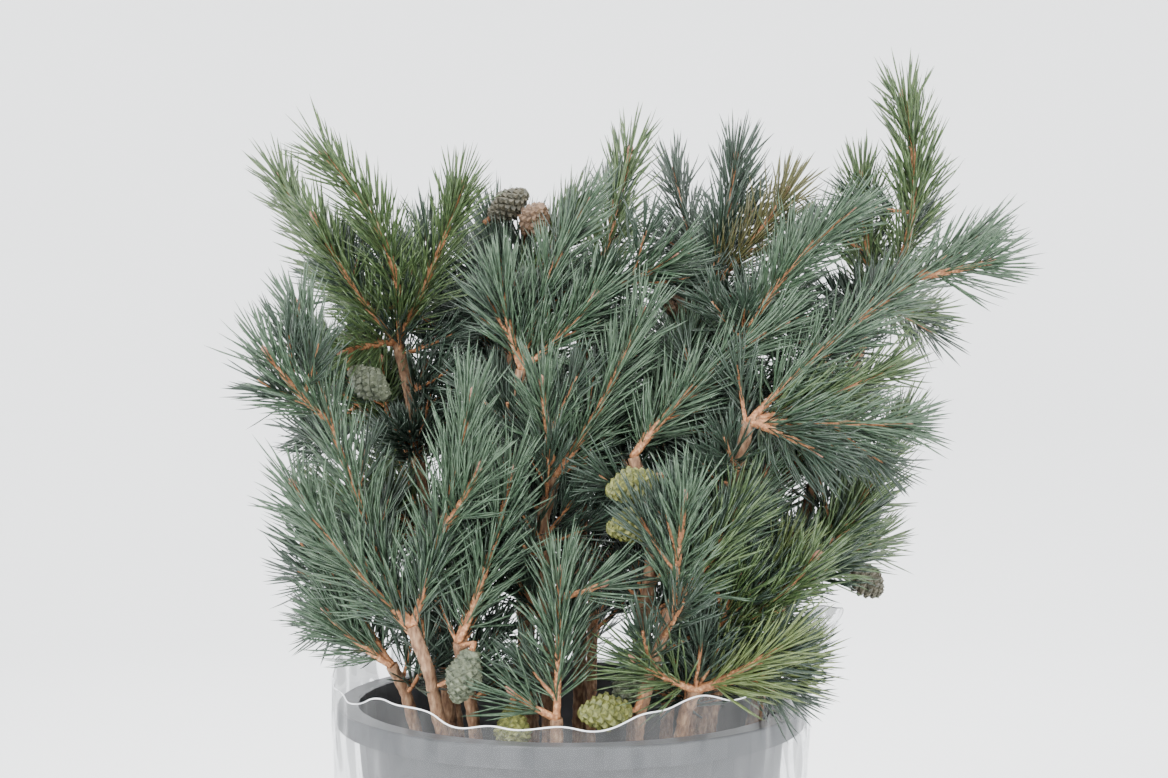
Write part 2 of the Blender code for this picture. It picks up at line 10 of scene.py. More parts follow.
import bpy
import numpy as np
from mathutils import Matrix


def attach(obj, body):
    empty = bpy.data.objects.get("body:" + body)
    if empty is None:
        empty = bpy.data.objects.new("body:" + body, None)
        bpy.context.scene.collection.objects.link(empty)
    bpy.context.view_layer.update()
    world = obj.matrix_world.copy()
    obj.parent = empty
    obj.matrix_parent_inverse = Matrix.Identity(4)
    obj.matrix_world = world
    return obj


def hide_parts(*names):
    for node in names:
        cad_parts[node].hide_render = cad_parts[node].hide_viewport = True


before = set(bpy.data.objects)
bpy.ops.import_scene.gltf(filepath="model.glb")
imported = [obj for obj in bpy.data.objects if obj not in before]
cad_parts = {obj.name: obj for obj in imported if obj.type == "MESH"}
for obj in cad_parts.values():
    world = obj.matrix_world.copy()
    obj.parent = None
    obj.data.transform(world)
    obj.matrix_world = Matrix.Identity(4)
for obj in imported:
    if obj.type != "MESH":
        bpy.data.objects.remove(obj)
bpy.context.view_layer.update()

GAP = 0.0003
MM = 0.001

# Every branch has a fork in metres. The rest are offsets in millimetres to the right, back and up:
# its stem from the fork down to the bough, and its shoots from the fork to their tips, followed by
# how far the middle of a bowed one stands off. A twig grows from part of the way along a limb, and
# so does a cone's stalk, to the cone's base. Limb 0 is the stem, and limb 1 is the first shoot.
# A cone points at a bearing from +X and a lean from the vertical, in degrees.
Branch = namedtuple("Branch", "name fork stem shoots twigs cones")
Twig = namedtuple("Twig", "limb at offset")
Cone = namedtuple("Cone", "name limb at base bearing lean")

FRONT_BRANCHES = (
    Branch("left_tall", (-0.126, 0.030, 0.561), (8, -4, -30),
           ((-44, -50, 127, 20, 0, 6), (-53, -40, 85), (48, -30, 107), (-95, 60, 125), (10, 40, 75),
            (-34, -42, -8)),
           (),
           (Cone("left_high", 6, 0.80, (0, -4, -14), 345, 125),
            Cone("left_dark", 6, 0.25, (-6, 14, 2), 165, 92))),
    Branch("left_front", (-0.0995, -0.120, 0.377), (10, 0, -26),
           ((-75, 5, 88), (-83, 60, 205), (37, 0, 145)),
           (Twig(2, 0.66, (-38, -20, 45)), Twig(3, 0.45, (24, -14, 40))), ()),
    Branch("left_low", (-0.116, -0.088, 0.347), (8, 8, -18),
           ((-62, 40, 104), (-42, 0, 34), (-65, 85, 60)), (), ()),
    Branch("left_inner", (-0.070, -0.120, 0.367), (4, 12, -24),
           ((33, 0, 106), (12, 35, 70)), (), (Cone("left_low", 0, 0.9, (9, -16, 0), 180, 163),)),
    Branch("middle_back", (-0.033, -0.050, 0.540), (-6, 4, -34),
           ((-15, 0, 62), (43, 20, 113, -7, 0, 5), (48, -20, 48)), (), ()),
    Branch("middle", (-0.010, -0.090, 0.470), (-8, 4, -28),
           ((-8, -8, 60), (57, 14, 106), (48, 38, 40)), (), ()),
    Branch("middle_right", (0.0405, -0.100, 0.483), (14, 2, -44),
           ((98, 18, 86, -8, 0, 10), (46, 70, 90)), (),
           (Cone("middle_upper", 0, 0.70, (10, -18, 1), 198, 105),
            Cone("middle_lower", 0, 0.22, (5, -23, -4), 192, 100))),
    Branch("upper_middle", (0.012, -0.012, 0.590), (-4, 6, -30),
           ((57, -24, 26), (30, 42, 108)), (), ()),
    Branch("rear_middle", (-0.045, 0.045, 0.590), (2, 0, -30),
           ((-14, 18, 60), (45, 14, 70), (-45, 50, 56), (10, 16, 48)), (),
           (Cone("top_left", 1, 0.95, (-2, -8, 6), 352, 55),
            Cone("top_right", 4, 0.90, (3, -4, 10), 292, 62))),
    Branch("upper_right", (0.100, 0.022, 0.600), (-6, 0, -36),
           ((20, 22, 96), (52, -10, 66), (-22, 78, 92)), (),
           (Cone("upper_brown", 0, 0.60, (-5, -11, 2), 220, 95),)),
    Branch("right_upper", (0.118, -0.048, 0.560), (-4, 2, -32),
           ((69, -14, 84, -9, 0, 8), (40, 50, 76)), (), ()),
    Branch("right_tall", (0.216, 0.010, 0.582), (-14, 0, -34),
           ((16, -20, 148, 15, 0, 0), (-8, 14, 96), (48, 52, 2)), (), ()),
    Branch("right_long", (0.1145, -0.105, 0.506), (-6, 4, -30),
           ((164, 60, 124, -8, 0, 13), (95, 30, 34), (98, -8, -2), (38, -34, -18)),
           (Twig(1, 0.72, (42, -20, 8)),), ()),
    Branch("right_middle", (0.150, -0.050, 0.400), (-8, 2, -28),
           ((60, 20, 68), (90, 85, 105), (66, 60, 20)), (),
           (Cone("right_dark", 3, 0.60, (4, -3, -9), 40, 125),)),
    Branch("front_bright", (0.062, -0.142, 0.390), (-18, 18, -66),
           ((8, -20, 70), (44, 14, 64), (66, 50, 86)), (),
           (Cone("front_olive", 0, 0.28, (-11, -2, -16), 200, 90),
            Cone("front_behind", 0, 0.41, (-8, 21, 0), 160, 162))),
    Branch("right_yellow", (0.0834, -0.095, 0.354), (-2, 4, -24),
           ((72, -20, 66), (56, 0, 66), (24, -22, 54)), (), ()),
    Branch("right_low", (0.079, -0.125, 0.338), (-6, 8, -16),
           ((52, -12, 30), (68, 16, 16), (-38, -20, 22)), (), ()),
    Branch("front_centre", (-0.008, -0.135, 0.322), (0, 6, -18),
           ((2, -6, 90), (-27, 0, 16)), (Twig(1, 0.86, (26, 0, 8)),),
           (Cone("front_left", 2, 0.9, (-3, 8, -8), 90, 178),)),
)

# The branches at the back: an axis with two whorls of shoots each, spaced round the bunch
BACK_COUNT = 5
BACK_FIRST_BEARING = 14.0
BACK_BEARING_STEP = 34.0
BACK_OUTER = (0.118, 0.375)
BACK_INNER = (0.085, 0.440)
BACK_RISE = 0.009
BACK_LEADER = 0.190
BACK_LEADER_LEAN = 22.0
BACK_SHOOT = 0.082
BACK_SHOOT_LEAN = 58.0
BACK_WHORL = 4
BACK_FAN = 56.0
BACK_TURN_VARIATION = 8.0
BACK_LENGTH_VARIATION = 0.15
BACK_TWIG_AT = 0.52
BACK_TWIG_LEAN = 14.0
BACK_TWIG_SHARE = 0.85
BACK_STEM = (0, 0, -24)
BACK_SEED = 31

# The branches' bare stems, from the bucket's floor
FOOT_SHARE = 0.60
FOOT_LIMIT = 0.095
FLOOR = 0.0025
STEM_FOOT_RADIUS = 0.0055
STEM_TIP_RADIUS = 0.0040
STEM_LEAN_START = 0.16
STEM_LEAN_HEIGHT = 0.56
STEM_SIDES = 14
STEM_RING_STEP = 0.003
BARK_RELIEF = 0.07
RING_RELIEF = 0.5

# Shoots: slim twigs that carry pairs of needles on small pointed stubs
CORE_ROW = 0.0205
SHOOT_ACROSS = 0.58
SHOOT_UP = 0.42
TWIG_FOOT_RADIUS = 0.0026
TWIG_TIP_RADIUS = 0.0016
TWIG_SIDES = 7
TWIG_RING_STEP = 0.003
PAIR_STEP = 0.00098
BARE_FOOT = 0.009
GOLDEN_TURN = 2.39996
NEEDLE = 0.0385
NEEDLE_VARIATION = 0.13
NEEDLE_WIDTH = 0.00150
NEEDLE_THICKNESS = 0.0008
NEEDLE_ANGLE_FOOT = 50.0
NEEDLE_ANGLE_TIP = 22.0
NEEDLE_ANGLE_VARIATION = 9.0
NEEDLE_BEND = 0.16
PAIR_SPREAD = 0.11
FEWEST_PAIRS = 8
NEEDLE_SINK = 0.8
END_SHORTER = 0.16
END_SHARES = (0.05, 0.95)
SPREAD_RANGE = (0.4, 1.6)
BEND_MOST = 1.4
BEND_VARIATION = 0.05
PAIR_LENGTHS = (0.94, 1.04)
NEEDLE_RINGS = ((0.0, 0.55), (0.35, 1.0), (0.78, 0.86))
NEEDLE_POINTS = 10
TINY = 1e-6
STUB_LENGTH = 0.0026
STUB_RADIUS = 0.0007
STUB_SPREAD = 0.55
ASKEW = np.array((0.3, 0.5, 0.8))
STUB_SINK = 0.7
STUB_LENGTHS = (0.8, 1.25)
BUD_LENGTH = 0.0085
BUD_RADIUS = 0.0023
BUD_SINK = 0.002
BUD_RINGS = 8
BUD_SIDES = 10
BUD_ENDS = (0.12, 0.86)
BUD_ROUNDNESS = 0.8
TWIG_RELIEF = 0.06
FINE_STEPS = 6
STEM_POINTS = 8

# Short shoots that fill the inside of each branch, within its reach; their needles are painted darker, as
# shade inside the bunch
FILL_COUNT = 3
STEM_FILL_COUNT = 15
STEM_FILL_REACH = 0.105
STEM_FILL_LOWEST = 0.316
STEM_FILL_RADIUS = 0.142
STEM_FILL_SPREAD = 0.75
STEM_FILL_RISE = (0.25, 1.2)
STEM_FILL_LEAST = 0.7
FILL_LENGTH = 0.046
FILL_NEEDLE = 0.82
FILL_PAIR_STEP = 0.00130
FILL_SHORTEST = 1.3
FILL_ALONG = (0.08, 0.55)
FILL_SPREAD = 0.55
FILL_REARWARD = 0.9
FILL_LEAST = 0.75
FILL_SAG = np.array((0.0, 0.0, -0.003))
FILL_POINTS = 12
FILL_TIP_RADIUS = 0.001
FILL_SIDES = 6
FILL_RELIEF = 0.05

# Cones: an egg covered in a spiral of raised four-cornered scales
CONE_LENGTH = 0.034
CONE_RADIUS = 0.0108
CONE_FOOT = 0.42
CONE_SWELL = 1.45
CONE_WIDEST = 0.4
CONE_TAPER = 1.32
CONE_RINGS = 14
CONE_SIDES = 16
CONE_SCALES = 84
SCALE_RISE = 0.0014
# A scale's points: shares of its height and width from its middle, depth in metres, share of its rise
SCALE_POINTS = (
    (-1.0, 0.0, -0.0006, 0.0), (0.0, 1.0, -0.0004, 0.0), (1.0, 0.0, -0.0002, 0.0),
    (0.0, -1.0, -0.0004, 0.0), (-0.3, 0.45, 0.0, 0.75), (0.35, 0.0, 0.0, 0.85),
    (-0.3, -0.45, 0.0, 0.75), (0.1, 0.0, 0.0, 1.5), (-0.6, 0.0, 0.0, 0.6),
)
SCALE_FACES = (
    (0, 1, 4), (0, 4, 8), (1, 2, 5), (1, 5, 4), (2, 3, 6), (2, 6, 5), (3, 0, 8), (3, 8, 6),
    (4, 5, 7), (5, 6, 7), (6, 8, 7), (8, 4, 7),
)
STALK = 0.004
STALK_RADIUS = 0.0022
STALK_SINK = 0.001
STALK_SIDES = 8
CONE_CORE = 0.93
CONE_ASKEW = (0.2, 0.3, 0.9)
SCALE_FIRST = 0.03
SCALE_SPAN = 0.95
SCALE_LEAST = 0.45
SCALE_TALL = 0.088
SCALE_WIDE = 0.36
SCALE_EVEN = 0.6
SCALE_NARROWEST = 0.003
SKIN_LEAST = 0.0004

# Bucket and film
BUCKET_HEIGHT = 0.310
RIM_RADIUS = 0.163
SKIRT = 0.014
FILM_FOOT = 0.008
FILM_FOOT_PULL = 0.016
FILM_FOLD = 0.0032
FILM_RISE = 0.019
FILM_RISE_WAVE = 0.006
FILM_FLARE_BEARING = 12.0
FILM_FLARE_WIDTH = 26.0
FILM_FLARE_RISE = 0.036
FILM_FLARE_REACH = 0.026
FILM_FLARE_CURVE = 1.3
FILM_EDGE_WAVES = ((1.0, 2, 2.47), (0.7, 5, 0.4), (0.4, 11, 1.57), (0.25, 23, 0.6))
FILM_FOLD_WAVES = ((0.25, 9, 0.0), (0.25, 14, 1.3))
FILM_CRUMPLE_WAVES = ((0.0007, 31, 40, 0.3), (0.0005, 47, -70, 1.1), (0.0004, 19, 110, 2.0))
FILM_COLUMNS = 480
FILM_ROWS = 72
FILM_EDGE_RADIUS = 0.0005
FILM_EDGE_SIDES = 6
FILM_TINT = (0.96, 0.968, 0.975, 1.0)
FILM_ROUGHNESS = 0.05
FILM_FACING = 0.22
FILM_GLOSS = (0.025, 0.65)

# Materials: how fine the noise goes, and how deep its relief is
NOISE_DETAIL = 4.0
RELIEF_DEPTH = 0.001

# The stage: a floor, a round curve and a wall, in metres, and the world's light
FLOOR_RADII = (0.0, 1.2, 2.4)
STAGE_CURVE = 1.6
STAGE_CURVE_STEPS = 8
STAGE_TOP = 3.4
STAGE_SIDES = 96
STAGE_CENTRE = 1e-4
WORLD_COLOUR = (0.96, 0.98, 1.0, 1.0)
WORLD_STRENGTH = 1.7

# The softboxes: name, place, the point it faces, side and power
LIGHTS = (
    ("light_left", (-1.5, -1.9, 1.5), (0.0, 0.0, 0.45), 1.1, 105.0),
    ("light_right", (1.7, -1.7, 1.3), (0.0, 0.0, 0.40), 1.0, 70.0),
    ("light_top", (0.0, -0.2, 2.6), (0.0, 0.0, 0.5), 1.8, 95.0),
    ("light_back", (0.6, 2.3, 2.0), (0.0, 0.0, 0.4), 1.6, 40.0),
)

# The largest number of needles in one piece
PIECE_NEEDLES = 12800

# Which needles each branch has: its usual kind, and other kinds by limb
NEEDLE_KINDS = {
    "left_tall": ("green", {5: "edge_highlight"}),
    "left_front": ("blue", {}),
    "left_low": ("blue", {3: "dark"}),
    "left_inner": ("blue", {}),
    "middle_back": ("blue", {}),
    "middle": ("blue", {}),
    "middle_right": ("blue", {}),
    "upper_middle": ("blue", {2: "green"}),
    "rear_middle": ("dark", {2: "green"}),
    "upper_right": ("dark", {2: "olive"}),
    "right_upper": ("blue", {}),
    "right_tall": ("green", {}),
    "right_long": ("blue", {2: "green", 4: "dark"}),
    "right_middle": ("green", {}),
    "front_bright": ("blue", {2: "green"}),
    "right_yellow": ("green", {2: "yellow"}),
    "right_low": ("yellow", {3: "green"}),
    "front_centre": ("blue", {}),
    "back_1": ("green", {}),
    "back_2": ("blue", {}),
    "back_3": ("dark", {2: "green"}),
    "back_4": ("blue", {}),
    "back_5": ("green", {}),
}
# The fill shoots' needles take the dark tone: painted shade inside the bunch
FILL_SHADE_KIND = "dark"

# The needles' two tones by kind, linear
NEEDLE_TONES = {
    "blue": ((0.012, 0.034, 0.016), (0.072, 0.116, 0.068)),
    "green": ((0.016, 0.040, 0.012), (0.085, 0.128, 0.046)),
    "yellow": ((0.048, 0.078, 0.022), (0.125, 0.160, 0.052)),
    "olive": ((0.045, 0.052, 0.018), (0.110, 0.100, 0.038)),
    # dark: painted shade on the fill shoots inside the bunch; it is also the tone given to some branches
    # and shoots
    "dark": ((0.010, 0.024, 0.014), (0.032, 0.052, 0.034)),
    "edge_highlight": ((0.050, 0.085, 0.056), (0.115, 0.155, 0.110)),
}

# Which colours each cone has
CONE_TONES = {
    "left_high": "grey", "left_dark": "dark", "left_low": "grey", "middle_upper": "yellow",
    "middle_lower": "yellow", "top_left": "dark", "top_right": "brown", "upper_brown": "brown",
    "right_dark": "dark", "front_olive": "yellow", "front_behind": "grey", "front_left": "yellow",
}
# The cones' two tones by colour, linear
CONE_COLOURS = {
    "grey": ((0.030, 0.038, 0.022), (0.115, 0.130, 0.082)),
    "yellow": ((0.042, 0.050, 0.012), (0.170, 0.175, 0.042)),
    "brown": ((0.060, 0.032, 0.016), (0.190, 0.115, 0.065)),
    "dark": ((0.028, 0.028, 0.018), (0.085, 0.075, 0.048)),
}

# Camera, as solved from the photograph
CAMERA_PLACE = (0.009, -1.16, 0.527)
CAMERA_LENS = 50.8
CAMERA_SENSOR = 36.0

# The seed of everything random on the branches
SEED = 7


def offset(values):
    """An offset in metres from one in millimetres."""
    return np.array(values, dtype=float) * MM


def heading(bearing, lean):
    """The unit vector at a bearing from +X and a lean from the vertical, in degrees."""
    turn = math.radians(bearing)
    tilt = math.radians(lean)
    flat = math.sin(tilt)
    return np.array((flat * math.cos(turn), flat * math.sin(turn), math.cos(tilt)))


def unit(vectors):
    """Vectors at length one."""
    return vectors / np.linalg.norm(vectors, axis=-1, keepdims=True)


def curve(start, control, end, count):
    """Points along a quadratic curve."""
    t = np.linspace(0.0, 1.0, count)[:, None]
    return (1 - t) ** 2 * start + 2 * t * (1 - t) * control + t ** 2 * end


def carried_frames(path):
    """The tangent and two normals at each point of a path, carried along it without twist."""
    tangents = unit(np.gradient(path, axis=0))
    side = np.cross(tangents[0], (0.0, 0.0, 1.0) if abs(tangents[0][2]) < 0.9 else (1.0, 0.0, 0.0))
    first = []
    second = []
    for tangent in tangents:
        side = unit(side - tangent * np.dot(side, tangent))
        first.append(side)
        second.append(np.cross(tangent, side))
    return tangents, np.array(first), np.array(second)


def path_length(path):
    """The length of a path."""
    return np.linalg.norm(np.diff(path, axis=0), axis=1).sum()


class Bag:
    """Vertices and triangles gathered for one mesh."""

    def __init__(self):
        self.points = []
        self.faces = []
        self.count = 0

    def add(self, points, faces):
        self.points.append(points)
        self.faces.append(faces + self.count)
        self.count += len(points)

    def mesh(self, name, smooth=True):
        points = np.concatenate(self.points).astype(np.float32)
        faces = np.concatenate(self.faces).astype(np.int32)
        data = bpy.data.meshes.new(name)
        data.vertices.add(len(points))
        data.vertices.foreach_set("co", points.ravel())
        data.loops.add(faces.size)
        data.loops.foreach_set("vertex_index", faces.ravel())
        data.polygons.add(len(faces))
        data.polygons.foreach_set("loop_start", np.arange(len(faces), dtype=np.int32) * 3)
        data.update(calc_edges=True)
        data.validate()
        data.polygons.foreach_set("use_smooth", np.full(len(faces), smooth))
        return data


def show(name, data, material):
    """Put a mesh into the scene as a piece of the bunch."""
    data.materials.append(material)
    thing = bpy.data.objects.new(name, data)
    bpy.context.scene.collection.objects.link(thing)
    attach(thing, "root")
    return thing


def grid_faces(rows, sides):
    """Two triangles for each cell of a grid of rings."""
    row, side = np.meshgrid(np.arange(rows - 1), np.arange(sides), indexing="ij")
    after = (side + 1) % sides
    a = (row * sides + side).ravel()
    b = (row * sides + after).ravel()
    c = ((row + 1) * sides + after).ravel()
    d = ((row + 1) * sides + side).ravel()
    return np.concatenate((np.stack((a, b, c), axis=1), np.stack((a, c, d), axis=1)))


def add_tube(bag, path, radii, sides, relief=0.0, rng=None):
    """A round tube closed at both ends, with relief as a share of its radius."""
    tangents, first, second = carried_frames(path)
    angles = np.arange(sides) * math.tau / sides
    round_part = np.cos(angles)[None, :, None] * first[:, None, :]
    round_part = round_part + np.sin(angles)[None, :, None] * second[:, None, :]
    swell = np.ones((len(path), sides))
    if relief:
        swell += relief * rng.standard_normal((len(path), sides))
        swell += RING_RELIEF * relief * rng.standard_normal((len(path), 1))
    rings = path[:, None, :] + round_part * (np.asarray(radii)[:, None] * swell)[..., None]
    rows = len(path)
    points = np.concatenate((rings.reshape(-1, 3), path[:1], path[-1:]))
    around = np.arange(sides)
    after = (around + 1) % sides
    low = np.stack((after, around, np.full(sides, rows * sides)), axis=1)
    top = (rows - 1) * sides
    high = np.stack((top + around, top + after, np.full(sides, rows * sides + 1)), axis=1)
    bag.add(points, np.concatenate((grid_faces(rows, sides), low, high)))


def add_spikes(bag, feet, directions, lengths, radius):
    """Small four-sided spikes."""
    side = unit(np.cross(directions, ASKEW))
    other = np.cross(directions, side)
    corners = (side, other, -side, -other)
    points = np.stack([feet + corner * radius for corner in corners]
                      + [feet + directions * lengths[:, None]], axis=1)
    pattern = np.array(((0, 1, 4), (1, 2, 4), (2, 3, 4), (3, 0, 4)))
    faces = np.arange(len(feet))[:, None, None] * 5 + pattern
    bag.add(points.reshape(-1, 3), faces.reshape(-1, 3))


def back_branch(index):
    """A branch at the back, worked out by rule: a leader with a whorl at its foot and one above."""
    rng = random.Random(BACK_SEED + index)
    bearing = BACK_FIRST_BEARING + BACK_BEARING_STEP * index
    reach, height = BACK_OUTER if index % 2 == 0 else BACK_INNER
    turn = math.radians(bearing)
    fork = (reach * math.cos(turn), reach * math.sin(turn), height + BACK_RISE * index)
    leader = heading(bearing, BACK_LEADER_LEAN) * BACK_LEADER / MM
    shoots = [tuple(leader)]
    twigs = []
    for place in range(BACK_WHORL):
        around = bearing + (place - (BACK_WHORL - 1) / 2) * BACK_FAN
        around += rng.uniform(-BACK_TURN_VARIATION, BACK_TURN_VARIATION)
        lean = BACK_SHOOT_LEAN + rng.uniform(-BACK_TURN_VARIATION, BACK_TURN_VARIATION)
        length = BACK_SHOOT / MM * (1.0 + rng.uniform(-BACK_LENGTH_VARIATION, BACK_LENGTH_VARIATION))
        shoots.append(tuple(heading(around, lean) * length))
        around += BACK_FAN / 2
        twig = heading(around, lean - BACK_TWIG_LEAN) * length * BACK_TWIG_SHARE
        twigs.append(Twig(1, BACK_TWIG_AT, tuple(twig)))
    return Branch(f"back_{index + 1}", fork, BACK_STEM, tuple(shoots), tuple(twigs), ())


def shoot_curve(start, values, fine):
    """A shoot leaves its fork at a wide angle and turns up towards its tip."""
    end = start + offset(values[:3])
    bow = offset(values[3:] or (0, 0, 0))
    rows = max(3, round(np.linalg.norm(end - start) / CORE_ROW))
    across = (end - start) * np.array((SHOOT_ACROSS, SHOOT_ACROSS, SHOOT_UP))
    return curve(start, start + across + 2 * bow, end, rows * fine + 1)


def along(path, share):
    """The point part of the way along a path."""
    place = share * (len(path) - 1)
    low = min(int(place), len(path) - 2)
    return path[low] + (path[low + 1] - path[low]) * (place - low)


def grow(branch):
    """A branch's stem, its shoots as fine paths, and its cones' places."""
    fork = np.array(branch.fork)
    stem = np.linspace(fork + offset(branch.stem), fork, STEM_POINTS)
    coarse = [np.array((stem[0], (stem[0] + fork) / 2, fork))]
    shoots = []
    for values in branch.shoots:
        coarse.append(shoot_curve(fork, values, 1))
        shoots.append(shoot_curve(fork, values, FINE_STEPS))
    for twig in branch.twigs:
        start = along(coarse[twig.limb], twig.at)
        coarse.append(shoot_curve(start, twig.offset, 1))
        shoots.append(shoot_curve(start, twig.offset, FINE_STEPS))
    cones = []
    for cone in branch.cones:
        foot = along(coarse[cone.limb], cone.at)
        cones.append((cone.name, foot, foot + offset(cone.base), heading(cone.bearing, cone.lean)))
    return stem, shoots, cones


def bough_path(branch):
    """The bare stem's curve, from the bucket's floor to the foot of its mass."""
    fork = np.array(branch.fork)
    end = fork + offset(branch.stem)
    flat = np.array((end[0], end[1], 0.0))
    reach = np.linalg.norm(flat)
    foot = flat / reach * min(FOOT_SHARE * reach, FOOT_LIMIT)
    foot[2] = FLOOR + GAP
    control = foot + (end - foot) * np.array((STEM_LEAN_START, STEM_LEAN_START, STEM_LEAN_HEIGHT))
    count = int(np.linalg.norm(end - foot) / STEM_RING_STEP)
    return curve(foot, control, end, count)


def fill_shoots(shoots, rng):
    """Short shoots that start part of the way along the long ones, turned towards the inside."""
    fillers = []
    for path in shoots:
        length = path_length(path)
        if length < FILL_SHORTEST * FILL_LENGTH:
            continue
        for _ in range(FILL_COUNT):
            start = along(path, rng.uniform(*FILL_ALONG))
            direction = unit(path[-1] - path[0])
            spread = rng.normal(0.0, FILL_SPREAD, 3)
            spread[1] = abs(spread[1]) * FILL_REARWARD
            way = unit(direction + spread)
            end = start + way * FILL_LENGTH * rng.uniform(FILL_LEAST, 1.0)
            fillers.append(curve(start, (start + end) / 2 + FILL_SAG, end, FILL_POINTS))
    return fillers


def stem_fill_shoots(path, rng):
    """Short shoots round the upper part of a bare stem, which fill the middle of the bunch."""
    fillers = []
    length = path_length(path)
    for _ in range(STEM_FILL_COUNT):
        start = along(path, 1.0 - rng.uniform(0.0, STEM_FILL_REACH) / length)
        way = unit(np.append(rng.normal(0.0, STEM_FILL_SPREAD, 2), rng.uniform(*STEM_FILL_RISE)))
        end = start + way * FILL_LENGTH * rng.uniform(STEM_FILL_LEAST, 1.0)
        low = start[2] < STEM_FILL_LOWEST or math.hypot(end[0], end[1]) > STEM_FILL_RADIUS
        if low and end[2] < STEM_FILL_LOWEST + FILL_LENGTH:
            continue
        fillers.append(curve(start, (start + end) / 2 + FILL_SAG, end, FILL_POINTS))
    return fillers


def grow_needles(path, rng, reach, pair_step, stubs=None):
    """The pairs of needles along a shoot, as feet, directions, bends, sides and lengths."""
    tangents, first, second = carried_frames(path)
    steps = np.concatenate(((0.0,), np.cumsum(np.linalg.norm(np.diff(path, axis=0), axis=1))))
    length = steps[-1]
    count = max(FEWEST_PAIRS, int((length - BARE_FOOT) / pair_step))
    place = np.sort(rng.uniform(BARE_FOOT, length, count))
    share = place / length

    def between(values):
        return np.stack([np.interp(place, steps, values[:, axis]) for axis in range(3)], axis=1)

    centre = between(path)
    tangent = unit(between(tangents))
    one = unit(between(first))
    two = np.cross(tangent, one)
    turn = np.arange(count) * GOLDEN_TURN + rng.uniform(0.0, math.tau)
    outward = np.cos(turn)[:, None] * one + np.sin(turn)[:, None] * two
    lean = NEEDLE_ANGLE_FOOT + (NEEDLE_ANGLE_TIP - NEEDLE_ANGLE_FOOT) * share
    lean = np.radians(lean + rng.normal(0.0, NEEDLE_ANGLE_VARIATION, count))
    radius = TWIG_FOOT_RADIUS + (TWIG_TIP_RADIUS - TWIG_FOOT_RADIUS) * share
    direction = outward * np.sin(lean)[:, None] + tangent * np.cos(lean)[:, None]
    foot = centre + outward * (radius * NEEDLE_SINK)[:, None]
    stub_way = unit(outward * STUB_SPREAD + tangent)
    if stubs is not None:
        add_spikes(stubs, centre + outward * (radius * STUB_SINK)[:, None], stub_way,
                   STUB_LENGTH * rng.uniform(*STUB_LENGTHS, count), STUB_RADIUS)
    side = unit(np.cross(direction, outward) + TINY)
    twist = rng.uniform(0.0, math.pi, count)
    split = unit(side * np.cos(twist)[:, None] + np.cross(direction, side) * np.sin(twist)[:, None])
    sizes = reach * (1.0 + rng.uniform(-NEEDLE_VARIATION, NEEDLE_VARIATION, count))
    sizes *= 1.0 - END_SHORTER + END_SHORTER * np.sin(np.pi * np.clip(share, *END_SHARES))
    feet = []
    ways = []
    bends = []
    sides = []
    lengths = []
    for sign in (-1.0, 1.0):
        way = unit(direction + split * sign * PAIR_SPREAD * rng.uniform(*SPREAD_RANGE, (count, 1)))
        feet.append(foot)
        ways.append(way)
        bends.append(tangent * NEEDLE_BEND * rng.uniform(0.0, BEND_MOST, (count, 1))
                     + rng.normal(0.0, BEND_VARIATION, (count, 3)))
        sides.append(unit(np.cross(way, split)))
        lengths.append(sizes * rng.uniform(*PAIR_LENGTHS, count))
    return [np.concatenate(values) for values in (feet, ways, bends, sides, lengths)]


def needle_mesh(name, feet, ways, bends, sides, lengths):
    """Needles as slim three-sided blades with a pointed tip."""
    count = len(feet)
    ridge = np.cross(ways, sides)
    points = np.empty((count, NEEDLE_POINTS, 3))
    for row, (share, width) in enumerate(NEEDLE_RINGS):
        centre = feet + ways * (lengths * share)[:, None] + bends * (lengths * share ** 2)[:, None]
        half = NEEDLE_WIDTH / 2 * width
        points[:, row * 3] = centre + sides * half
        points[:, row * 3 + 1] = centre - sides * half
        points[:, row * 3 + 2] = centre + ridge * NEEDLE_THICKNESS * width
    points[:, -1] = feet + ways * lengths[:, None] + bends * lengths[:, None]
    pattern = []
    for row in (0, 3):
        for side in range(3):
            after = (side + 1) % 3
            pattern.append((row + side, row + after, row + 3 + after))
            pattern.append((row + side, row + 3 + after, row + 3 + side))
    pattern += [(6, 7, 9), (7, 8, 9), (8, 6, 9)]
    faces = np.arange(count)[:, None, None] * NEEDLE_POINTS + np.array(pattern)
    bag = Bag()
    bag.add(points.reshape(-1, 3), faces.reshape(-1, 3))
    return bag.mesh(name)


def cone_radius(share):
    """The cone's radius at a share of its length: widest near the base."""
    if share < CONE_WIDEST:
        swell = math.sin(math.pi * share * CONE_SWELL / 2)
        return CONE_RADIUS * (CONE_FOOT + (1.0 - CONE_FOOT) * swell)
    past = (share - CONE_WIDEST) / (1.0 - CONE_WIDEST)
    return CONE_RADIUS * math.cos(CONE_TAPER * past)


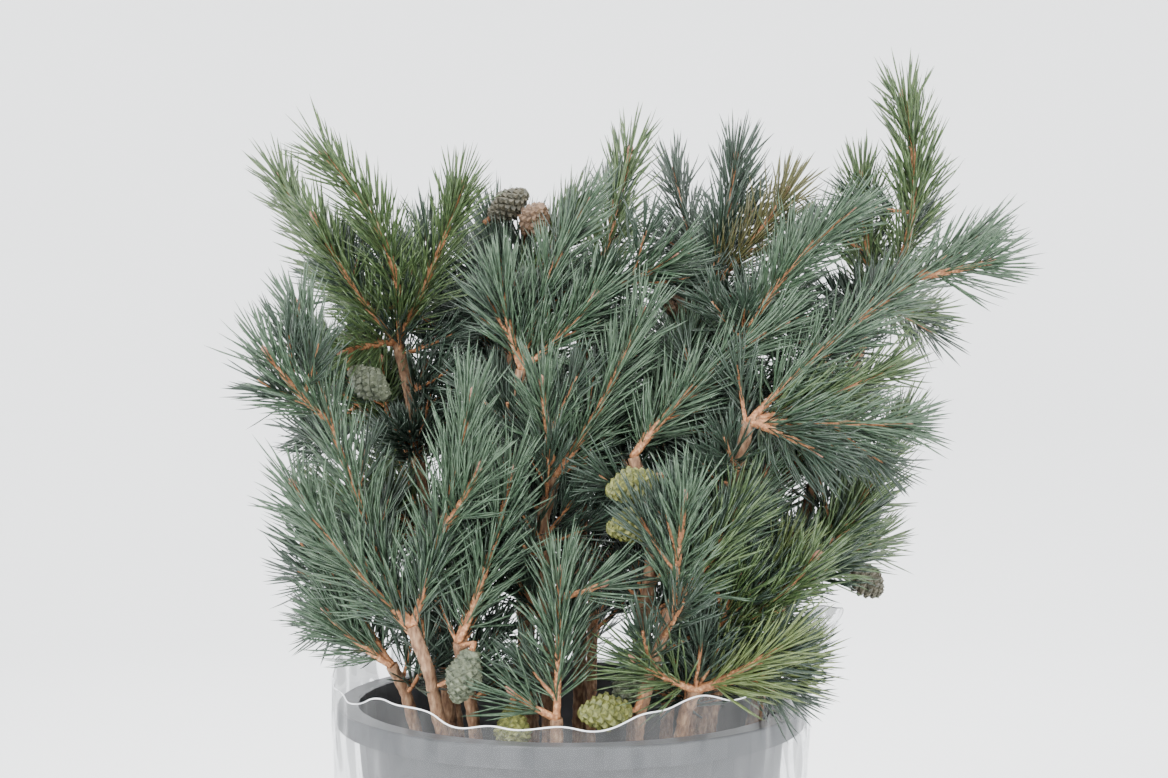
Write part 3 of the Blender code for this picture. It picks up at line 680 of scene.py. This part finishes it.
def add_cone(bag, base, direction):
    """A closed cone: an egg, with a spiral of raised four-cornered scales."""
    side = unit(np.cross(direction, CONE_ASKEW))
    other = np.cross(direction, side)
    shares = np.linspace(0.0, 1.0, CONE_RINGS)
    path = base + shares[:, None] * direction * CONE_LENGTH
    add_tube(bag, path, [CONE_CORE * cone_radius(share) for share in shares], CONE_SIDES)

    def on_skin(share, turn, lift):
        share = min(max(share, 0.0), 1.0)
        radius = max(cone_radius(share) + lift, SKIN_LEAST)
        spoke = side * math.cos(turn) + other * math.sin(turn)
        return base + direction * CONE_LENGTH * share + spoke * radius

    for index in range(CONE_SCALES):
        share = SCALE_FIRST + SCALE_SPAN * (index + 0.5) / CONE_SCALES
        turn = index * GOLDEN_TURN
        size = SCALE_LEAST + (1.0 - SCALE_LEAST) * cone_radius(share) / CONE_RADIUS
        tall = SCALE_TALL * size
        slimness = CONE_RADIUS / max(cone_radius(share), SCALE_NARROWEST)
        wide = SCALE_WIDE * (SCALE_EVEN + (1.0 - SCALE_EVEN) * slimness)
        rise = SCALE_RISE * size
        points = [on_skin(share + up * tall, turn + across * wide, sink + lift * rise)
                  for up, across, sink, lift in SCALE_POINTS]
        bag.add(np.array(points), np.array(SCALE_FACES))


def ramp(nodes, stops):
    """A colour ramp through the given places and colours."""
    node = nodes.new("ShaderNodeValToRGB")
    elements = node.color_ramp.elements
    elements[0].position, elements[0].color = stops[0][0], (*stops[0][1], 1.0)
    elements[1].position, elements[1].color = stops[-1][0], (*stops[-1][1], 1.0)
    for place, colour in stops[1:-1]:
        elements.new(place).color = (*colour, 1.0)
    return node


def noise_material(name, stops, scale, roughness, bump, specular=0.5, stretch=(1, 1, 1)):
    """A material with a mottled colour and a fine relief, both from noise."""
    material = bpy.data.materials.new(name)
    material.use_nodes = True
    nodes = material.node_tree.nodes
    links = material.node_tree.links
    shader = nodes["Principled BSDF"]
    place = nodes.new("ShaderNodeTexCoord")
    mapping = nodes.new("ShaderNodeMapping")
    mapping.inputs["Scale"].default_value = stretch
    texture = nodes.new("ShaderNodeTexNoise")
    texture.inputs["Scale"].default_value = scale
    texture.inputs["Detail"].default_value = NOISE_DETAIL
    colours = ramp(nodes, stops)
    relief = nodes.new("ShaderNodeBump")
    relief.inputs["Strength"].default_value = bump
    relief.inputs["Distance"].default_value = RELIEF_DEPTH
    links.new(place.outputs["Object"], mapping.inputs["Vector"])
    links.new(mapping.outputs["Vector"], texture.inputs["Vector"])
    links.new(texture.outputs["Fac"], colours.inputs["Fac"])
    links.new(colours.outputs["Color"], shader.inputs["Base Color"])
    links.new(texture.outputs["Fac"], relief.inputs["Height"])
    links.new(relief.outputs["Normal"], shader.inputs["Normal"])
    shader.inputs["Roughness"].default_value = roughness
    shader.inputs["Specular IOR Level"].default_value = specular
    return material


def film_material():
    """Clear film: see-through, and glossier where it is seen at a slant."""
    material = bpy.data.materials.new("clear_film")
    material.use_nodes = True
    nodes = material.node_tree.nodes
    links = material.node_tree.links
    nodes.remove(nodes["Principled BSDF"])
    clear = nodes.new("ShaderNodeBsdfTransparent")
    clear.inputs["Color"].default_value = FILM_TINT
    gloss = nodes.new("ShaderNodeBsdfGlossy")
    gloss.inputs["Roughness"].default_value = FILM_ROUGHNESS
    gloss.inputs["Color"].default_value = (1.0, 1.0, 1.0, 1.0)
    facing = nodes.new("ShaderNodeLayerWeight")
    facing.inputs["Blend"].default_value = FILM_FACING
    lift = nodes.new("ShaderNodeMapRange")
    lift.inputs["To Min"].default_value = FILM_GLOSS[0]
    lift.inputs["To Max"].default_value = FILM_GLOSS[1]
    blend = nodes.new("ShaderNodeMixShader")
    links.new(facing.outputs["Fresnel"], lift.inputs["Value"])
    links.new(lift.outputs["Result"], blend.inputs["Fac"])
    links.new(clear.outputs["BSDF"], blend.inputs[1])
    links.new(gloss.outputs["BSDF"], blend.inputs[2])
    links.new(blend.outputs["Shader"], nodes["Material Output"].inputs["Surface"])
    return material


def flare(bearing):
    """How much of the right-hand flare the film has at each bearing, from 0 to 1."""
    away = (bearing - FILM_FLARE_BEARING + 180.0) % 360.0 - 180.0
    return np.exp(-(away / FILM_FLARE_WIDTH) ** 2)


def make_film(material):
    """The film sleeve: one gathered, slightly crumpled sheet with a ragged top edge, and a thin pale tube
    along that edge as a painted highlight.
    """
    bearing = np.arange(FILM_COLUMNS) * 360.0 / FILM_COLUMNS
    turn = np.radians(bearing)
    wave = sum(size * np.sin(count * turn + phase) for size, count, phase in FILM_EDGE_WAVES)
    top = BUCKET_HEIGHT + FILM_RISE + FILM_RISE_WAVE * wave + FILM_FLARE_RISE * flare(bearing)
    fold = 0.5 + sum(size * np.sin(count * turn + phase) for size, count, phase in FILM_FOLD_WAVES)
    share = np.linspace(0.0, 1.0, FILM_ROWS)[:, None]
    height = FILM_FOOT + (top - FILM_FOOT)[None, :] * share
    radius = np.repeat((RIM_RADIUS + 2 * GAP + FILM_FOLD * fold)[None, :], FILM_ROWS, axis=0)
    above = np.maximum(0.0, height - BUCKET_HEIGHT)
    below = np.maximum(0.0, BUCKET_HEIGHT - SKIRT - height)
    lift = above / (FILM_RISE + FILM_FLARE_RISE)
    radius += FILM_FLARE_REACH * flare(bearing)[None, :] * lift ** FILM_FLARE_CURVE
    radius -= FILM_FOOT_PULL * below / BUCKET_HEIGHT
    for size, count, rise, phase in FILM_CRUMPLE_WAVES:
        radius += size * (1.0 + np.sin(count * turn[None, :] + rise * height + phase))
    points = np.stack((radius * np.cos(turn), radius * np.sin(turn), height), axis=2)
    bag = Bag()
    bag.add(points.reshape(-1, 3), grid_faces(FILM_ROWS, FILM_COLUMNS))
    piece = show("film", bag.mesh("film"), material)
    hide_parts("film_sleeve")
    edge = Bag()
    rim = np.concatenate((points[-1], points[-1][:1]))
    add_tube(edge, rim, np.full(len(rim), FILM_EDGE_RADIUS), FILM_EDGE_SIDES)
    # The edge tube's pale grey-white colour is a painted highlight on the film's folded top edge
    tones = ((0.35, (0.55, 0.56, 0.58)), (0.65, (0.85, 0.86, 0.88)))
    edge_highlight = noise_material("film_edge_highlight", tones, 60.0, 0.15, 0.0)
    show("film_edge_highlight", edge.mesh("film_edge_highlight"), edge_highlight)


def make_lights():
    """Two broad softboxes in front, one above and one behind, as in a plain studio."""
    for name, place, aim, size, power in LIGHTS:
        data = bpy.data.lights.new(name, "AREA")
        data.shape = "SQUARE"
        data.size = size
        data.energy = power
        lamp = bpy.data.objects.new(name, data)
        lamp.location = place
        way = np.array(aim) - np.array(place)
        tilt = math.atan2(math.hypot(way[0], way[1]), -way[2])
        lamp.rotation_euler = (tilt, 0.0, math.atan2(way[1], way[0]) - math.pi / 2)
        bpy.context.scene.collection.objects.link(lamp)


def make_stage():
    """A pale floor that curves up into a round wall, so every view has the same plain ground."""
    profile = [(radius, 0.0) for radius in FLOOR_RADII]
    for step in range(1, STAGE_CURVE_STEPS + 1):
        angle = math.pi / 2 * step / STAGE_CURVE_STEPS
        out = FLOOR_RADII[-1] + STAGE_CURVE * math.sin(angle)
        profile.append((out, STAGE_CURVE - STAGE_CURVE * math.cos(angle)))
    profile.append((FLOOR_RADII[-1] + STAGE_CURVE, STAGE_TOP))
    profile = np.array(profile)
    turn = np.arange(STAGE_SIDES) * math.tau / STAGE_SIDES
    radius = profile[:, 0][:, None] + STAGE_CENTRE
    height = np.repeat(profile[:, 1][:, None], STAGE_SIDES, axis=1)
    points = np.stack((radius * np.cos(turn), radius * np.sin(turn), height), axis=2)
    bag = Bag()
    bag.add(points.reshape(-1, 3), grid_faces(len(profile), STAGE_SIDES))
    data = bag.mesh("stage")
    tones = ((0.3, (0.93, 0.935, 0.94)), (0.7, (0.95, 0.955, 0.96)))
    data.materials.append(noise_material("pale_wall", tones, 1.5, 0.9, 0.0, specular=0.1))
    thing = bpy.data.objects.new("stage", data)
    bpy.context.scene.collection.objects.link(thing)
    world = bpy.data.worlds.new("studio")
    world.use_nodes = True
    background = world.node_tree.nodes["Background"]
    background.inputs["Color"].default_value = WORLD_COLOUR
    background.inputs["Strength"].default_value = WORLD_STRENGTH
    bpy.context.scene.world = world


def make_camera():
    """The camera at the photograph's place and angle."""
    data = bpy.data.cameras.new("camera")
    data.sensor_width = CAMERA_SENSOR
    data.lens = CAMERA_LENS
    camera = bpy.data.objects.new("camera", data)
    camera.location = CAMERA_PLACE
    camera.rotation_euler = (math.pi / 2, 0.0, 0.0)
    bpy.context.scene.collection.objects.link(camera)
    bpy.context.scene.camera = camera


def add_twig(bag, shoot, rng):
    """A shoot's bark: a slim tapering tube with a rough skin."""
    count = max(4, int(path_length(shoot) / TWIG_RING_STEP))
    places = np.linspace(0, len(shoot) - 1, count)
    fine = np.stack([np.interp(places, np.arange(len(shoot)), shoot[:, axis]) for axis in range(3)],
                    axis=1)
    radii = np.linspace(TWIG_FOOT_RADIUS, TWIG_TIP_RADIUS, count)
    add_tube(bag, fine, radii, TWIG_SIDES, TWIG_RELIEF, rng)


def add_bud(bag, shoot, rng):
    """The bud at a shoot's tip."""
    tip = unit(shoot[-1] - shoot[-2])
    shares = np.linspace(0.0, 1.0, BUD_RINGS)
    path = shoot[-1] + (shares[:, None] * BUD_LENGTH - BUD_SINK) * tip
    swell = np.sin(np.pi * (BUD_ENDS[0] + BUD_ENDS[1] * shares)) ** BUD_ROUNDNESS
    add_tube(bag, path, BUD_RADIUS * swell, BUD_SIDES, TWIG_RELIEF, rng)


def dress_branches():
    """Grow every branch: boughs, twigs, buds, needles and cones."""
    rng = np.random.default_rng(SEED)
    branches = FRONT_BRANCHES + tuple(back_branch(index) for index in range(BACK_COUNT))
    boughs = Bag()
    twigs = Bag()
    buds = Bag()
    cone_bags = {tone: Bag() for tone in CONE_COLOURS}
    needles = {kind: [] for kind in NEEDLE_TONES}
    for branch in branches:
        stem, shoots, cones = grow(branch)
        path = np.concatenate((bough_path(branch), stem[1:]))
        radii = np.linspace(STEM_FOOT_RADIUS, STEM_TIP_RADIUS, len(path))
        add_tube(boughs, path, radii, STEM_SIDES, BARK_RELIEF, rng)
        usual, others = NEEDLE_KINDS[branch.name]
        for number, shoot in enumerate(shoots, start=1):
            kind = others.get(number, usual)
            needles[kind].append(grow_needles(shoot, rng, NEEDLE, PAIR_STEP, twigs))
            add_twig(twigs, shoot, rng)
            add_bud(buds, shoot, rng)
        for filler in fill_shoots(shoots, rng) + stem_fill_shoots(path, rng):
            # Fill needles get the dark tone, as painted shade inside the bunch
            needles[FILL_SHADE_KIND].append(grow_needles(filler, rng, NEEDLE * FILL_NEEDLE, FILL_PAIR_STEP))
            radii = np.linspace(TWIG_TIP_RADIUS, FILL_TIP_RADIUS, len(filler))
            add_tube(twigs, filler, radii, FILL_SIDES, FILL_RELIEF, rng)
        for name, foot, base, direction in cones:
            add_cone(cone_bags[CONE_TONES[name]], base + direction * GAP, direction)
            stalk = np.array((foot, base - direction * STALK, base + direction * STALK_SINK))
            add_tube(twigs, stalk, np.full(len(stalk), STALK_RADIUS), STALK_SIDES, FILL_RELIEF, rng)
    bark_tones = ((0.3, (0.070, 0.034, 0.018)), (0.5, (0.165, 0.088, 0.046)),
                  (0.72, (0.29, 0.185, 0.108)))
    bark = noise_material("bark", bark_tones, 420.0, 0.85, 0.9, stretch=(1, 1, 0.35))
    twig_tones = ((0.32, (0.150, 0.058, 0.024)), (0.55, (0.30, 0.130, 0.052)), (0.75, (0.56, 0.33, 0.17)))
    twig_skin = noise_material("twig_bark", twig_tones, 520.0, 0.7, 0.6)
    bud_tones = ((0.35, (0.24, 0.095, 0.060)), (0.65, (0.50, 0.27, 0.19)))
    bud_skin = noise_material("bud", bud_tones, 900.0, 0.6, 0.8)
    names = [branch.name for branch in branches]
    piece = show("boughs", boughs.mesh("boughs"), bark)
    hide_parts(*["bough_" + name for name in names])
    piece = show("twigs", twigs.mesh("twigs"), twig_skin)
    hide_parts(*["needles_" + name for name in names])
    show("buds", buds.mesh("buds"), bud_skin)
    for kind, groups in needles.items():
        low, high = NEEDLE_TONES[kind]
        skin = noise_material("needle_" + kind, ((0.30, low), (0.70, high)), 260.0, 0.42, 0.15)
        feet, ways, bends, sides, lengths = [np.concatenate(values) for values in zip(*groups)]
        for number, start in enumerate(range(0, len(feet), PIECE_NEEDLES), start=1):
            part = slice(start, start + PIECE_NEEDLES)
            name = f"needles_{kind}_{number}"
            data = needle_mesh(name, feet[part], ways[part], bends[part], sides[part], lengths[part])
            show(name, data, skin)
    for tone, bag in cone_bags.items():
        low, high = CONE_COLOURS[tone]
        skin = noise_material("cone_" + tone, ((0.32, low), (0.68, high)), 330.0, 0.6, 0.5)
        piece = show("cones_" + tone, bag.mesh("cones_" + tone, smooth=False), skin)
        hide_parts(*["cone_" + name for name, given in CONE_TONES.items() if given == tone])


def dress_bucket():
    """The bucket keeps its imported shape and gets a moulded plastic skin."""
    tones = ((0.3, (0.026, 0.028, 0.031)), (0.7, (0.038, 0.040, 0.044)))
    plastic = noise_material("moulded_grey", tones, 140.0, 0.42, 0.12)
    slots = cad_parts["bucket"].material_slots
    slots[0].material = plastic


dress_branches()
dress_bucket()
make_film(film_material())
make_stage()
make_lights()
make_camera()
